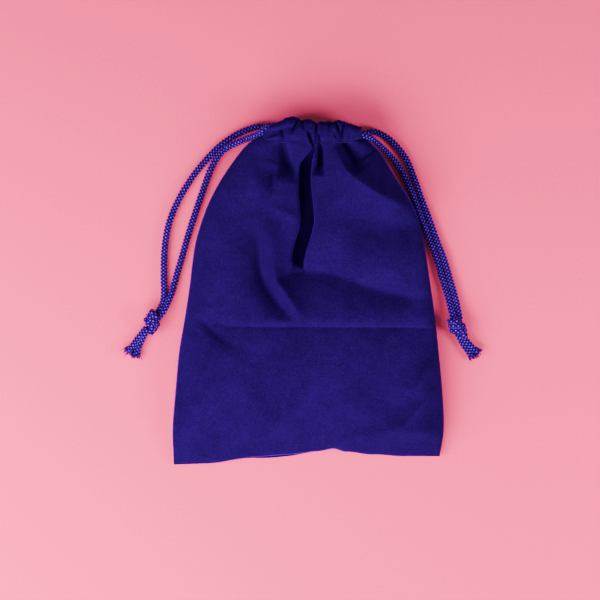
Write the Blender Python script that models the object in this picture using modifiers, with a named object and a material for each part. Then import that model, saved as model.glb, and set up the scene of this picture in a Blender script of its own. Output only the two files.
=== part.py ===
"""Velvet drawstring gift pouch, 9 x 12 cm, lying on its back and drawn shut.

Frame: metres, +X to the pouch's right, +Y towards the mouth, +Z up from the surface it lies on.
The origin is under the middle of the pouch. Two cords close it: each runs through both casings,
turns back at the far end, and leaves at its own end as two strands tied in one knot.
"""

import math

import bmesh
import bpy
import numpy as np
from mathutils import Vector

MM = 0.001

# Driving dimensions
POUCH_WIDTH = 90 * MM
BOTTOM_Y = -57 * MM
CASING_TOP_Y = 57 * MM
CASING_HEIGHT = 7.4 * MM          # hem width, along Y
CASING_DEPTH = 4.0 * MM           # along Z, round a cord
CASING_LEFT_X = -13.2 * MM
CASING_RIGHT_X = 16.6 * MM
MOUTH_GAP = 4.3 * MM              # between the two casings
CLOTH = 0.7 * MM
GAP = 0.3 * MM                    # between pieces that touch
CORD_D = 2.3 * MM
THREAD_D = 0.3 * MM
KNOT_SIZE = (7.4 * MM, 5.2 * MM, 4.6 * MM)

CASING_LOW_Y = CASING_TOP_Y - CASING_HEIGHT
PANEL_TOP_Y = CASING_LOW_Y - GAP
BACK_CORD_Z = CASING_DEPTH / 2
FRONT_CORD_Z = CASING_DEPTH + MOUTH_GAP + CASING_DEPTH / 2
LOWER_LANE_Y = CASING_LOW_Y + 2.3 * MM
UPPER_LANE_Y = CASING_TOP_Y - 2.3 * MM

# The side edge up the pouch: (Y in mm, share of the widest half width)
PANEL_LOW_Y = BOTTOM_Y + CLOTH
SIDE_OUTLINE = [
    (PANEL_LOW_Y / MM, 0.986), (-46, 1.0), (-30, 0.982), (-10, 0.928), (6, 0.878), (20, 0.819),
    (30, 0.738), (38, 0.634), (44, 0.54), (PANEL_TOP_Y / MM, 0.427),
]
# How far the front's middle stands above its side edges, in mm: (Y, rise)
FRONT_RISE = [(PANEL_LOW_Y / MM, 0.35), (-50, 4.6), (-42, 6.7), (-30, 7.3), (0, 7.4), (25, 7.0), (40, 5.7), (50, 4.6)]
ARCH_POWER = 2.6
EDGE_Z = 1.6 * MM                 # inner face of the front at the side edges
EDGE_NECK_LIFT = 3.6 * MM         # how much higher those edges lie at the neck
BACK_FLAT_SHARE = 0.75            # share of the back's width that lies flat

VELVET = (0.012, 0.005, 0.120)
VELVET_SHADE = (0.008, 0.003, 0.075)
CORD_BLUE = (0.017, 0.005, 0.300)
THREAD_BLUE = (0.010, 0.004, 0.090)

# The free strands' routes, in mm, from the casing to the knot
LEFT_OUTER_ROUTE = [
    (-14.0, 54.7, 2.0), (-17.6, 55.0, 1.6), (-23.3, 52.3, 1.25), (-29.7, 47.9, 1.25), (-35.4, 42.3, 1.25),
    (-40.2, 35.8, 1.25), (-44.2, 28.6, 1.25), (-46.8, 21.4, 1.25), (-48.0, 13.3, 1.25), (-48.2, 5.2, 1.25),
    (-48.5, 0.0, 1.25), (-50.0, -3.4, 1.4), (-51.3, -5.6, 1.7),
]
LEFT_INNER_ROUTE = [
    (-14.1, 54.7, 10.3), (-16.6, 54.6, 9.9), (-20.2, 52.2, 6.6), (-23.4, 49.7, 3.7), (-26.6, 46.6, 1.9),
    (-30.9, 40.7, 1.25), (-34.5, 33.8, 1.25), (-37.7, 26.2, 1.25), (-40.1, 18.1, 1.25), (-42.2, 11.3, 1.25),
    (-43.9, 5.5, 1.25), (-45.8, 0.0, 1.4), (-47.5, -3.9, 2.1), (-49.2, -6.8, 2.9),
]
RIGHT_OUTER_ROUTE = [
    (17.4, 51.9, 2.0), (19.8, 51.8, 1.8), (22.4, 52.3, 1.5), (25.2, 51.9, 1.25), (28.6, 49.2, 1.25),
    (32.5, 44.3, 1.25), (35.2, 38.2, 1.25), (37.6, 31.6, 1.25), (40.3, 24.5, 1.25), (42.9, 17.3, 1.25),
    (45.7, 10.7, 1.25), (47.9, 4.6, 1.25), (49.8, -2.0, 1.4), (50.9, -7.6, 1.8),
]
RIGHT_INNER_ROUTE = [
    (17.5, 51.9, 10.3), (20.0, 51.5, 9.7), (23.2, 48.8, 6.2), (26.6, 45.8, 3.4), (29.8, 42.0, 1.9),
    (32.5, 37.1, 1.9), (34.9, 31.1, 1.9), (36.9, 25.0, 1.8), (39.6, 18.4, 1.4), (42.4, 11.3, 1.25),
    (44.1, 5.2, 1.25), (46.2, -0.9, 1.4), (48.2, -7.6, 2.4),
]
LEFT_KNOT = (-52.1, -10.1, 2.5)
LEFT_KNOT_ANGLE = math.radians(236)
RIGHT_KNOT = (49.8, -12.0, 2.5)
RIGHT_KNOT_ANGLE = math.radians(274)
LEFT_UPPER_TAIL_ROUTE = [(-55.7, -13.0, 2.0), (-57.9, -16.6, 1.7), (-60.4, -20.6, 1.7)]
LEFT_LOWER_TAIL_ROUTE = [(-53.6, -14.4, 2.0), (-54.4, -18.0, 1.7), (-55.7, -21.6, 1.7)]
RIGHT_UPPER_TAIL_ROUTE = [(51.5, -16.0, 2.0), (53.6, -18.2, 1.7), (56.3, -20.4, 1.7)]
RIGHT_LOWER_TAIL_ROUTE = [(48.9, -16.4, 2.0), (50.9, -19.8, 1.7), (53.6, -23.4, 1.7)]


def clear_scene():
    """Removes what a new file starts with."""
    for leftover in list(bpy.data.objects):
        bpy.data.objects.remove(leftover, do_unlink=True)


def new_collection(name):
    """A collection for the pouch's parts, in the scene."""
    collection = bpy.data.collections.new(name)
    bpy.context.scene.collection.children.link(collection)
    return collection


def soft_material(name, colour, roughness):
    """A plain dyed textile."""
    material = bpy.data.materials.new(name)
    material.use_nodes = True
    shader = material.node_tree.nodes["Principled BSDF"]
    shader.inputs["Base Color"].default_value = (*colour, 1)
    shader.inputs["Roughness"].default_value = roughness
    shader.inputs["Metallic"].default_value = 0
    return material


def smooth_curve(points, count):
    """`count` points evenly spaced along a Catmull-Rom curve through `points`."""
    through = np.array(points, float)
    ends = (2 * through[0] - through[1], 2 * through[-1] - through[-2])
    padded = np.vstack([ends[0], through, ends[1]])
    fine = []
    for i in range(1, len(padded) - 2):
        t = np.linspace(0, 1, 20, endpoint=False)[:, None]
        a, b, c, d = padded[i - 1:i + 3]
        fine.append(0.5 * (2 * b + (c - a) * t + (2 * a - 5 * b + 4 * c - d) * t**2
                           + (3 * b - a - 3 * c + d) * t**3))
    fine = np.vstack(fine + [through[-1:]])
    along = np.r_[0, np.cumsum(np.linalg.norm(np.diff(fine, axis=0), axis=1))]
    places = np.linspace(0, along[-1], count)
    return np.column_stack([np.interp(places, along, fine[:, k]) for k in range(fine.shape[1])])


def mesh_part(name, vertices, faces, material, collection, parent):
    """A mesh object with its faces turned out and its round faces smooth."""
    mesh = bpy.data.meshes.new(name)
    mesh.from_pydata([tuple(v) for v in vertices], [], faces)
    mesh.materials.append(material)
    mesh.shade_smooth()
    part = bpy.data.objects.new(name, mesh)
    collection.objects.link(part)
    part.parent = parent
    return part


def grid_faces(rows, columns):
    """Quads of an open grid, facing +Z when rows run up Y and columns along X."""
    corner = np.arange(rows * columns).reshape(rows, columns)
    return np.stack([corner[:-1, :-1], corner[:-1, 1:], corner[1:, 1:], corner[1:, :-1]], -1).reshape(-1, 4).tolist()


def tube_faces(rings, sides):
    """Quads of a tube of closed rings, facing out when each ring turns anticlockwise about the tube's way."""
    corner = np.arange(rings * sides).reshape(rings, sides)
    beside = np.roll(corner, -1, axis=1)
    return np.stack([corner[:-1], beside[:-1], beside[1:], corner[1:]], -1).reshape(-1, 4).tolist()


def solidify(part, thickness, offset):
    """Gives an open surface its wall."""
    wall = part.modifiers.new("Wall", "SOLIDIFY")
    wall.thickness = thickness
    wall.offset = offset
    wall.use_even_offset = True


def edge_z(y):
    """Height of the front's inner face at the side edges: it climbs towards the neck."""
    t = np.clip((y - 20 * MM) / (PANEL_TOP_Y - 20 * MM), 0, 1)
    return EDGE_Z + EDGE_NECK_LIFT * t * t * (3 - 2 * t)


def front_inner_z(share, y):
    """Height of the front's inner face at a share (-1 to 1) of the half width: a flattened arch."""
    rise = np.interp(y / MM, *zip(*FRONT_RISE)) * MM
    return edge_z(y) + rise * (1 - np.abs(share) ** ARCH_POWER) ** (1 / ARCH_POWER)


def back_outer_z(share, y):
    """Height of the back's outer face: flat on the surface, with its side edges turned up to the seam."""
    lift = edge_z(y) - CLOTH - GAP
    return lift * np.clip((np.abs(share) - BACK_FLAT_SHARE) / (1 - BACK_FLAT_SHARE), 0, 1) ** 2


def side_edge(count):
    """`count` places up the right side edge: their heights Y, and half the panel's width there."""
    widest = POUCH_WIDTH / 2 - CLOTH
    points = [(y, share * widest / MM) for y, share in SIDE_OUTLINE]
    return (smooth_curve(points, count) * MM).T


def half_width(y):
    """Half the panel's width at height y."""
    return float(np.interp(y, *side_edge(60)))


def make_panel(name, height, material, collection, parent):
    """One velvet panel: a grid from the bottom to the neck whose height is a function of place, given a wall."""
    rows, columns = 22, 25
    edge_y, edge_x = side_edge(rows)
    share = np.sin(np.linspace(-math.pi / 2, math.pi / 2, columns))
    y = np.repeat(edge_y[:, None], columns, axis=1)
    x = edge_x[:, None] * share
    z = height(np.broadcast_to(share, x.shape), y)
    panel = mesh_part(name, np.stack([x, y, z], -1).reshape(-1, 3), grid_faces(rows, columns), material,
                      collection, parent)
    solidify(panel, CLOTH, 1)


def make_casing(name, middle_z, material, collection, parent):
    """The hem as a flattened tunnel along X: a rounded rectangle carried along it, walled inwards."""
    corner = 1.8 * MM
    middle_y = (CASING_TOP_Y + CASING_LOW_Y) / 2
    reach = (CASING_HEIGHT / 2 - corner, CASING_DEPTH / 2 - corner)
    angles = np.linspace(0, math.pi / 2, 5)
    quarters = [(1, 1, 0), (-1, 1, 1), (-1, -1, 2), (1, -1, 3)]
    ring = np.vstack([
        np.column_stack([middle_y + sy * reach[0] + corner * np.cos(angles + k * math.pi / 2),
                         middle_z + sz * reach[1] + corner * np.sin(angles + k * math.pi / 2)])
        for sy, sz, k in quarters
    ])
    stations = np.linspace(CASING_LEFT_X, CASING_RIGHT_X, 7)
    vertices = [(x, y, z) for x in stations for y, z in ring]
    casing = mesh_part(name, vertices, tube_faces(len(stations), len(ring)), material, collection, parent)
    solidify(casing, CLOTH, -1)


def make_strip(name, sections, material, collection, parent):
    """A sewn strip: four-cornered sections lofted along it and closed at both ends."""
    count = len(sections)
    faces = tube_faces(count, 4)
    faces += [[3, 2, 1, 0], [4 * count - 4, 4 * count - 3, 4 * count - 2, 4 * count - 1]]
    strip = mesh_part(name, np.array(sections).reshape(-1, 3), faces, material, collection, parent)
    strip.data.shade_flat()
    turn_out(strip.data)


def turn_out(mesh):
    """Points every face of a closed mesh outwards."""
    shape = bmesh.new()
    shape.from_mesh(mesh)
    bmesh.ops.recalc_face_normals(shape, faces=shape.faces)
    shape.to_mesh(mesh)
    shape.free()


def make_side_seam(name, side, material, collection, parent):
    """The two panels' seam allowances, pressed together inside one side edge."""
    near, far, clearance, depth = 1.4 * MM, 4.2 * MM, 0.5 * MM, 1.1 * MM
    sections = []
    for y in np.linspace(BOTTOM_Y + 5 * MM, PANEL_TOP_Y - 4 * MM, 18):
        half = half_width(y)
        outer, inner = half - near, half - far
        low = [float(back_outer_z(x / half, y)) + CLOTH + clearance for x in (outer, inner)]
        roof = float(front_inner_z(outer / half, y)) - clearance
        high = [min(z + depth, roof) for z in low]
        sections.append([(side * outer, y, low[0]), (side * inner, y, low[1]),
                         (side * inner, y, high[1]), (side * outer, y, high[0])])
    make_strip(name, sections, material, collection, parent)


def make_bottom_seam(name, material, collection, parent):
    """The seam allowances pressed together inside the bottom edge."""
    outer_y, inner_y, clearance, depth = BOTTOM_Y + 1.8 * MM, BOTTOM_Y + 4.6 * MM, 0.45 * MM, 0.8 * MM
    sections = []
    for x in np.linspace(-38.5 * MM, 38.5 * MM, 14):
        share = x / half_width(outer_y)
        low = float(back_outer_z(share, outer_y)) + CLOTH + clearance
        high = min(low + depth, float(front_inner_z(share, outer_y)) - clearance)
        sections.append([(x, outer_y, low), (x, inner_y, low), (x, inner_y, high), (x, outer_y, high)])
    make_strip(name, sections, material, collection, parent)


def make_tube(name, points, diameter, material, collection, parent, flare=1.0):
    """A cord or thread: a round tube along a poly line, with filled ends; flare widens its far end."""
    curve = bpy.data.curves.new(name, "CURVE")
    curve.dimensions = "3D"
    curve.bevel_depth = diameter / 2
    curve.bevel_resolution = 2
    curve.use_fill_caps = True
    spline = curve.splines.new("POLY")
    spline.points.add(len(points) - 1)
    for point, place, share in zip(spline.points, points, np.linspace(0, 1, len(points))):
        point.co = (*(Vector(place) - parent.location), 1)
        point.radius = 1 + (flare - 1) * share
    curve.materials.append(material)
    tube = bpy.data.objects.new(name, curve)
    collection.objects.link(tube)
    tube.parent = parent


def make_strand(name, route, material, collection, parent):
    """A free strand of cord along its route, with a point every two or three diameters."""
    length = np.linalg.norm(np.diff(np.array(route), axis=0), axis=1).sum() * MM
    count = round(length / (2.4 * CORD_D)) + 1
    make_tube(name, smooth_curve(route, count) * MM, CORD_D, material, collection, parent)


def make_run(name, lane_y, z, material, collection, parent):
    """The stretch of cord inside a casing, a little longer than the casing."""
    ends = (CASING_LEFT_X - GAP, CASING_RIGHT_X + GAP)
    points = [(x, lane_y, z) for x in np.linspace(*ends, 6)]
    make_tube(name, points, CORD_D, material, collection, parent)


def make_turn(name, end_x, way, lane_y, material, collection, parent):
    """Where a cord comes out of one casing and goes back into the other: half an oval in an upright plane."""
    middle_z = (FRONT_CORD_Z + BACK_CORD_Z) / 2
    half_span = (FRONT_CORD_Z - BACK_CORD_Z) / 2
    reach = 2.2 * MM
    start = end_x + way * 2 * GAP
    angles = np.linspace(-math.pi / 2, math.pi / 2, 11)
    points = [(start + way * reach * math.cos(a) ** 0.7, lane_y, middle_z + half_span * math.sin(a)) for a in angles]
    make_tube(name, points, CORD_D, material, collection, parent)


def make_knot(name, centre, angle, material, collection, parent):
    """The overhand knot's outer form: an egg-shaped lump along the cord's way."""
    bpy.ops.mesh.primitive_uv_sphere_add(segments=16, ring_count=10, radius=0.5)
    knot = bpy.context.object
    knot.name = knot.data.name = name
    for owner in list(knot.users_collection):
        owner.objects.unlink(knot)
    collection.objects.link(knot)
    knot.scale = KNOT_SIZE
    bpy.ops.object.transform_apply(location=False, rotation=False, scale=True)
    knot.rotation_euler = (0, 0, angle)
    knot.parent = parent
    knot.location = Vector(centre) * MM - parent.location
    knot.data.materials.append(material)
    knot.data.shade_smooth()


def make_pivot(name, place, collection):
    """An empty on a joint's axis, which carries what swings."""
    pivot = bpy.data.objects.new(name, None)
    pivot.empty_display_size = 4 * MM
    pivot.location = place
    collection.objects.link(pivot)
    return pivot


def make_cord(side, lane_y, turn, routes, knot, tails, collection, body):
    """One drawstring, from its turn at the far end to its frayed tails."""
    cord = soft_material(f"{side}_cord_braid", CORD_BLUE, 0.5)
    fray = soft_material(f"{side}_cord_fray", CORD_BLUE, 0.7)
    swing = make_pivot(f"{side}_cord_pivot", Vector(routes["outer"][0]) * MM, collection)
    make_run(f"{side}_cord_front_run", lane_y, FRONT_CORD_Z, cord, collection, body)
    make_run(f"{side}_cord_back_run", lane_y, BACK_CORD_Z, cord, collection, body)
    make_turn(f"{side}_cord_turn", *turn, lane_y, cord, collection, body)
    for which, route in routes.items():
        make_strand(f"{side}_cord_{which}_strand", route, cord, collection, swing)
    make_knot(f"{side}_cord_knot", *knot, cord, collection, swing)
    for which, route in tails.items():
        points = smooth_curve(route, 4) * MM
        make_tube(f"{side}_cord_{which}_tail", points, CORD_D, fray, collection, swing, flare=1.3)


def build():
    """Puts the pouch together: cloth, seams, stitching, then the two cords."""
    clear_scene()
    parts = new_collection("drawstring_gift_pouch")
    body = make_pivot("pouch_frame", (0, 0, 0), parts)
    velvet = soft_material("velvet", VELVET, 0.9)
    wrong_side = soft_material("velvet_wrong_side", VELVET_SHADE, 0.95)
    thread = soft_material("sewing_thread", THREAD_BLUE, 0.6)

    make_panel("back_panel", back_outer_z, velvet, parts, body)
    make_panel("front_panel", front_inner_z, velvet, parts, body)
    make_casing("back_casing", BACK_CORD_Z, velvet, parts, body)
    make_casing("front_casing", FRONT_CORD_Z, velvet, parts, body)
    make_side_seam("left_side_seam", -1, wrong_side, parts, body)
    make_side_seam("right_side_seam", 1, wrong_side, parts, body)
    make_bottom_seam("bottom_seam", wrong_side, parts, body)

    stitch_y = CASING_LOW_Y + 0.4 * MM
    stitches_x = np.linspace(CASING_LEFT_X, CASING_RIGHT_X, 8)
    shoulder = 1.55 * MM          # from a casing's mid-height to the thread over its rounded lower edge
    for which, z in (("back", BACK_CORD_Z + shoulder), ("front", FRONT_CORD_Z + shoulder)):
        row = [(x, stitch_y, z) for x in stitches_x]
        make_tube(f"{which}_casing_stitching", row, THREAD_D, thread, parts, body)

    make_cord("left", UPPER_LANE_Y, (CASING_RIGHT_X, 1),
              {"outer": LEFT_OUTER_ROUTE, "inner": LEFT_INNER_ROUTE}, (LEFT_KNOT, LEFT_KNOT_ANGLE),
              {"upper": LEFT_UPPER_TAIL_ROUTE, "lower": LEFT_LOWER_TAIL_ROUTE}, parts, body)
    make_cord("right", LOWER_LANE_Y, (CASING_LEFT_X, -1),
              {"outer": RIGHT_OUTER_ROUTE, "inner": RIGHT_INNER_ROUTE}, (RIGHT_KNOT, RIGHT_KNOT_ANGLE),
              {"upper": RIGHT_UPPER_TAIL_ROUTE, "lower": RIGHT_LOWER_TAIL_ROUTE}, parts, body)


build()
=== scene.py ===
import math

import bpy
import numpy as np
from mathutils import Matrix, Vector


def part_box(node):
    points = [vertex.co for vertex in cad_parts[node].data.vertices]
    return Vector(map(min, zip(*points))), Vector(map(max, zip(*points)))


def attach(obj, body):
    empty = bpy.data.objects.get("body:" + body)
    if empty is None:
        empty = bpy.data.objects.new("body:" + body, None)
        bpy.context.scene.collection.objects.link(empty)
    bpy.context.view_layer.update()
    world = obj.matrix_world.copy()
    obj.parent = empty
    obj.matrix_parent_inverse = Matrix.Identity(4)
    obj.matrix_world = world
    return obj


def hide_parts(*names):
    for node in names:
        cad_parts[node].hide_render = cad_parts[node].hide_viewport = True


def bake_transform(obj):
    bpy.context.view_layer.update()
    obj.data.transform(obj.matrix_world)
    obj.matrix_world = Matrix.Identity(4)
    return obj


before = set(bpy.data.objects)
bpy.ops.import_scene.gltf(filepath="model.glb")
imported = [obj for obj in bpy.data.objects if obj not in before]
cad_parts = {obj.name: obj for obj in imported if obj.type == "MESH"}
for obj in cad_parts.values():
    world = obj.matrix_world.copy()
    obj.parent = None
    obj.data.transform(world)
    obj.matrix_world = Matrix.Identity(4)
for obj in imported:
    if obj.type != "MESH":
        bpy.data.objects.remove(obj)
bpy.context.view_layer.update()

MM = 0.001

# ---------------------------------------------------------------- The view
# The pouch lies on its back and is looked at from straight above, with its mouth
# away from the viewer. A long lens keeps the flat shape free of distortion.
VIEW_CENTRE = (-2.8 * MM, -2.8 * MM)
VIEW_WIDTH = 199.2 * MM            # what the view takes in at VIEW_LEVEL above the table
VIEW_LEVEL = 5 * MM
LENS, SENSOR = 200.0, 36.0
NEAR_CLIP = 0.01

view = bpy.data.cameras.new("view")
view.lens = LENS
view.sensor_width = SENSOR
view.clip_start = NEAR_CLIP
camera = bpy.data.objects.new("view", view)
camera.location = (*VIEW_CENTRE, VIEW_LEVEL + VIEW_WIDTH * LENS / SENSOR)
bpy.context.scene.collection.objects.link(camera)
bpy.context.scene.camera = camera


# ---------------------------------------------------------------- The drawstrings' free strands
# Round braided cord of satin polyester yarn, 2.3 mm thick. Each of the two cords leaves its end
# of the casing as two strands, which come down to the table and lie there in a long loose curve.
CORD_D = 2.3 * MM
YARNS = 4                          # yarns each way round the braid
YARN_LAY = 1.15 * MM               # length in which a yarn steps on by one place
YARN_DEPTH = 0.15                  # how deep the braid's hollows are, as a share of the diameter
END_ROUNDING = 0.3                 # length over which a cord's end is rounded off, as a share of the diameter
# The strands' centre lines, in mm, from inside the casing's mouth to inside the knot
ROUTES = {
    "left_cord_outer_strand": [
        (-12.6, 54.7, 2.0), (-14.6, 54.7, 1.9), (-17.6, 54.7, 1.6), (-23.3, 52.6, 1.25), (-29.6, 48.4, 1.25),
        (-35.4, 42.3, 1.25), (-40.2, 35.8, 1.25), (-44.2, 28.6, 1.25), (-46.8, 21.4, 1.25),
        (-48.0, 13.3, 1.25), (-48.2, 5.2, 1.25), (-48.1, 0.0, 1.25), (-48.4, -3.2, 1.4), (-49.3, -5.6, 1.9),
        (-50.5, -7.6, 2.5), (-51.5, -9.0, 2.6),
    ],
    "left_cord_inner_strand": [
        (-12.6, 54.7, 10.3), (-13.7, 54.2, 10.2), (-14.9, 53.2, 9.9), (-17.0, 51.9, 8.4), (-19.6, 51.0, 6.2),
        (-22.7, 49.9, 4.4), (-26.8, 48.0, 3.2), (-30.0, 45.2, 2.3), (-33.0, 39.6, 1.5), (-35.4, 32.9, 1.25),
        (-38.1, 25.0, 1.25), (-40.3, 18.0, 1.25), (-42.2, 11.3, 1.25), (-43.9, 5.5, 1.25),
        (-45.3, 0.3, 1.4), (-46.8, -3.6, 2.1), (-48.2, -6.4, 2.9), (-49.9, -8.6, 2.9), (-51.4, -9.8, 2.7),
    ],
    "right_cord_outer_strand": [
        (16.0, 51.9, 2.0), (18.6, 52.5, 1.8), (21.6, 53.2, 1.5), (25.2, 51.9, 1.25), (28.6, 49.2, 1.25),
        (32.5, 44.3, 1.25), (35.1, 38.2, 1.25), (37.4, 31.6, 1.25), (40.1, 24.5, 1.25), (42.7, 17.3, 1.25),
        (45.2, 10.7, 1.25), (47.0, 4.6, 1.25), (48.9, -2.0, 1.4), (50.1, -7.6, 1.8), (50.2, -9.6, 2.2),
        (50.0, -11.0, 2.5),
    ],
    "right_cord_inner_strand": [
        (16.0, 51.9, 10.3), (18.2, 51.7, 9.9), (20.4, 50.9, 8.6), (23.2, 48.8, 6.2), (26.6, 45.8, 3.4),
        (29.8, 42.0, 1.9), (32.6, 37.1, 1.9), (35.1, 31.1, 1.9), (37.3, 25.0, 1.8), (40.0, 18.0, 1.4),
        (42.7, 11.0, 1.25), (44.4, 5.2, 1.25), (46.3, -0.9, 1.4), (47.9, -7.6, 2.4), (48.8, -9.4, 2.6),
        (49.5, -11.0, 2.6),
    ],
}


def curve_through(points, step, measured=3):
    """Points `step` apart along the Catmull-Rom curve through `points`: on each span, the cubic that
    leaves and arrives along the line between the neighbours of its ends. Length is measured over the
    first columns, and further columns are carried along."""
    per_span = 40
    through = np.array(points, float)
    padded = np.vstack([2 * through[0] - through[1], through, 2 * through[-1] - through[-2]])
    a, b, c, d = (padded[k:len(through) - 1 + k, None] for k in range(4))
    t = np.linspace(0, 1, per_span, endpoint=False)[None, :, None]
    spans = 0.5 * (
        2 * b + (c - a) * t + (2 * a - 5 * b + 4 * c - d) * t**2 + (3 * b - a - 3 * c + d) * t**3
    )
    fine = np.vstack([spans.reshape(-1, through.shape[1]), through[-1:]])
    along = np.r_[0, np.cumsum(np.linalg.norm(np.diff(fine[:, :measured], axis=0), axis=1))]
    places = np.linspace(0, along[-1], max(3, round(along[-1] / step) + 1))
    return np.column_stack([np.interp(places, along, fine[:, k]) for k in range(fine.shape[1])])


def path_frame(path, up):
    """Distance along the path, and at each point two directions across it: side = tangent x up, made
    unit length, and top = side x tangent."""
    tangent = np.gradient(path, axis=0)
    tangent /= np.linalg.norm(tangent, axis=1)[:, None]
    side = np.cross(tangent, np.broadcast_to(up, tangent.shape))
    side /= np.linalg.norm(side, axis=1)[:, None]
    along = np.r_[0, np.cumsum(np.linalg.norm(np.diff(path, axis=0), axis=1))]
    return along, side, np.cross(side, tangent)


def mesh_object(name, vertices, faces, material, attributes=()):
    """A smooth-shaded mesh object, with per-vertex numbers that its material may read."""
    mesh = bpy.data.meshes.new(name)
    mesh.from_pydata(np.asarray(vertices).reshape(-1, 3).tolist(), [], faces)
    mesh.materials.append(material)
    mesh.shade_smooth()
    for label, values in attributes:
        layer = mesh.attributes.new(label, "FLOAT", "POINT")
        layer.data.foreach_set("value", np.asarray(values, np.float32).ravel())
    piece = bpy.data.objects.new(name, mesh)
    bpy.context.scene.collection.objects.link(piece)
    return piece


def ring_quads(rings, sides):
    """Quads between closed rings. They face outwards where each ring turns anticlockwise about the
    path's way."""
    corner = np.arange(rings * sides).reshape(rings, sides)
    beside = np.roll(corner, -1, axis=1)
    return np.stack([corner[:-1], beside[:-1], beside[1:], corner[1:]], -1).reshape(-1, 4)


def braid_relief(turn, along):
    """The braid's surface, from the angle round it (0 to 1) and the length along it. Two families of
    yarns wind opposite ways: a = YARNS * turn + along / lay, b = YARNS * turn - along / lay. In each
    cell between whole numbers of a and b one family lies on top, by turns. A yarn's height there is a
    half circle across it times a low arch along it. Returns the height (0 to 1) and the place across
    the yarn (-1 to 1)."""
    a = YARNS * turn + along / YARN_LAY
    b = YARNS * turn - along / YARN_LAY
    first_on_top = (np.floor(a) + np.floor(b)) % 2 == 0
    across = 2 * np.where(first_on_top, a % 1, b % 1) - 1
    lengthwise = 2 * np.where(first_on_top, b % 1, a % 1) - 1
    height = np.sqrt(np.clip(1 - across**2, 0, 1)) * (1 - 0.75 * lengthwise**2)
    return height, across


def braided_tube(name, path, diameter, up, material, swell=None):
    """A braided cord along a path: rings of points, whose radius is the cord's less a yarn's depth
    where the braid lies low. swell scales the radius from point to point. Towards both ends the radius
    falls to nothing as a quarter circle does."""
    sides = 40
    along, side, top = path_frame(path, up)
    turn = np.arange(sides) / sides
    height, across = braid_relief(turn[None, :], along[:, None])
    swell = np.ones(len(path)) if swell is None else swell
    yarn_depth = YARN_DEPTH * diameter
    radius = (diameter / 2 - yarn_depth * (1 - height)) * swell[:, None]
    rounding = np.clip(np.minimum(along, along[-1] - along) / (END_ROUNDING * diameter), 0, 1)
    radius *= np.sqrt(1 - (1 - rounding[:, None]) ** 2)
    angle = 2 * math.pi * turn
    sideways, upwards = np.cos(angle)[None, :, None], -np.sin(angle)[None, :, None]
    way_out = side[:, None] * sideways + top[:, None] * upwards
    skin = path[:, None] + radius[..., None] * way_out
    body = ring_quads(len(path) - 2, sides) + 1
    last = (len(path) - 2) * sides + 1
    ring = np.arange(sides)
    first_cap = np.stack([np.zeros(sides, int), (ring + 1) % sides + 1, ring + 1], -1)
    end = last - sides
    last_cap = np.stack([np.full(sides, last), end + ring, end + (ring + 1) % sides], -1)
    vertices = np.vstack([path[:1], skin[1:-1].reshape(-1, 3), path[-1:]])
    faces = first_cap.tolist() + body.tolist() + last_cap.tolist()
    attributes = [
        (label, np.r_[0, values[1:-1].ravel(), 0])
        for label, values in (("height", height), ("across", across))
    ]
    return mesh_object(name, vertices, faces, material, attributes)


SOCKETS = {
    "roughness": "Roughness", "specular": "Specular IOR Level", "specular_tint": "Specular Tint",
    "sheen": "Sheen Weight", "sheen_roughness": "Sheen Roughness", "sheen_tint": "Sheen Tint",
}


def node_maker(tree):
    """A short way to add and join shader nodes."""
    def add(kind, inputs=(), **settings):
        node = tree.nodes.new(kind)
        for key, value in settings.items():
            setattr(node, key, value)
        for socket, value in dict(inputs).items():
            if isinstance(value, bpy.types.NodeSocket):
                tree.links.new(value, node.inputs[socket])
            else:
                node.inputs[socket].default_value = value
        return node
    return add


def ramp_of(add, factor, stops):
    """A colour ramp with (place, colour) stops."""
    ramp = add("ShaderNodeValToRGB", {"Fac": factor})
    while len(ramp.color_ramp.elements) < len(stops):
        ramp.color_ramp.elements.new(0.5)
    for element, (place, colour) in zip(ramp.color_ramp.elements, stops):
        element.position = place
        element.color = (*colour, 1)
    return ramp.outputs["Color"]


def new_material(name, **constants):
    """A material with its constants on the shader's sockets, named in small letters with underscores.
    Returns it, its node tree, its shader, a node adder, and the place on the object."""
    material = bpy.data.materials.new(name)
    material.use_nodes = True
    tree = material.node_tree
    shader = tree.nodes["Principled BSDF"]
    for label, value in constants.items():
        shader.inputs[SOCKETS[label]].default_value = value
    add = node_maker(tree)
    return material, tree, shader, add, add("ShaderNodeTexCoord").outputs["Object"]


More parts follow.
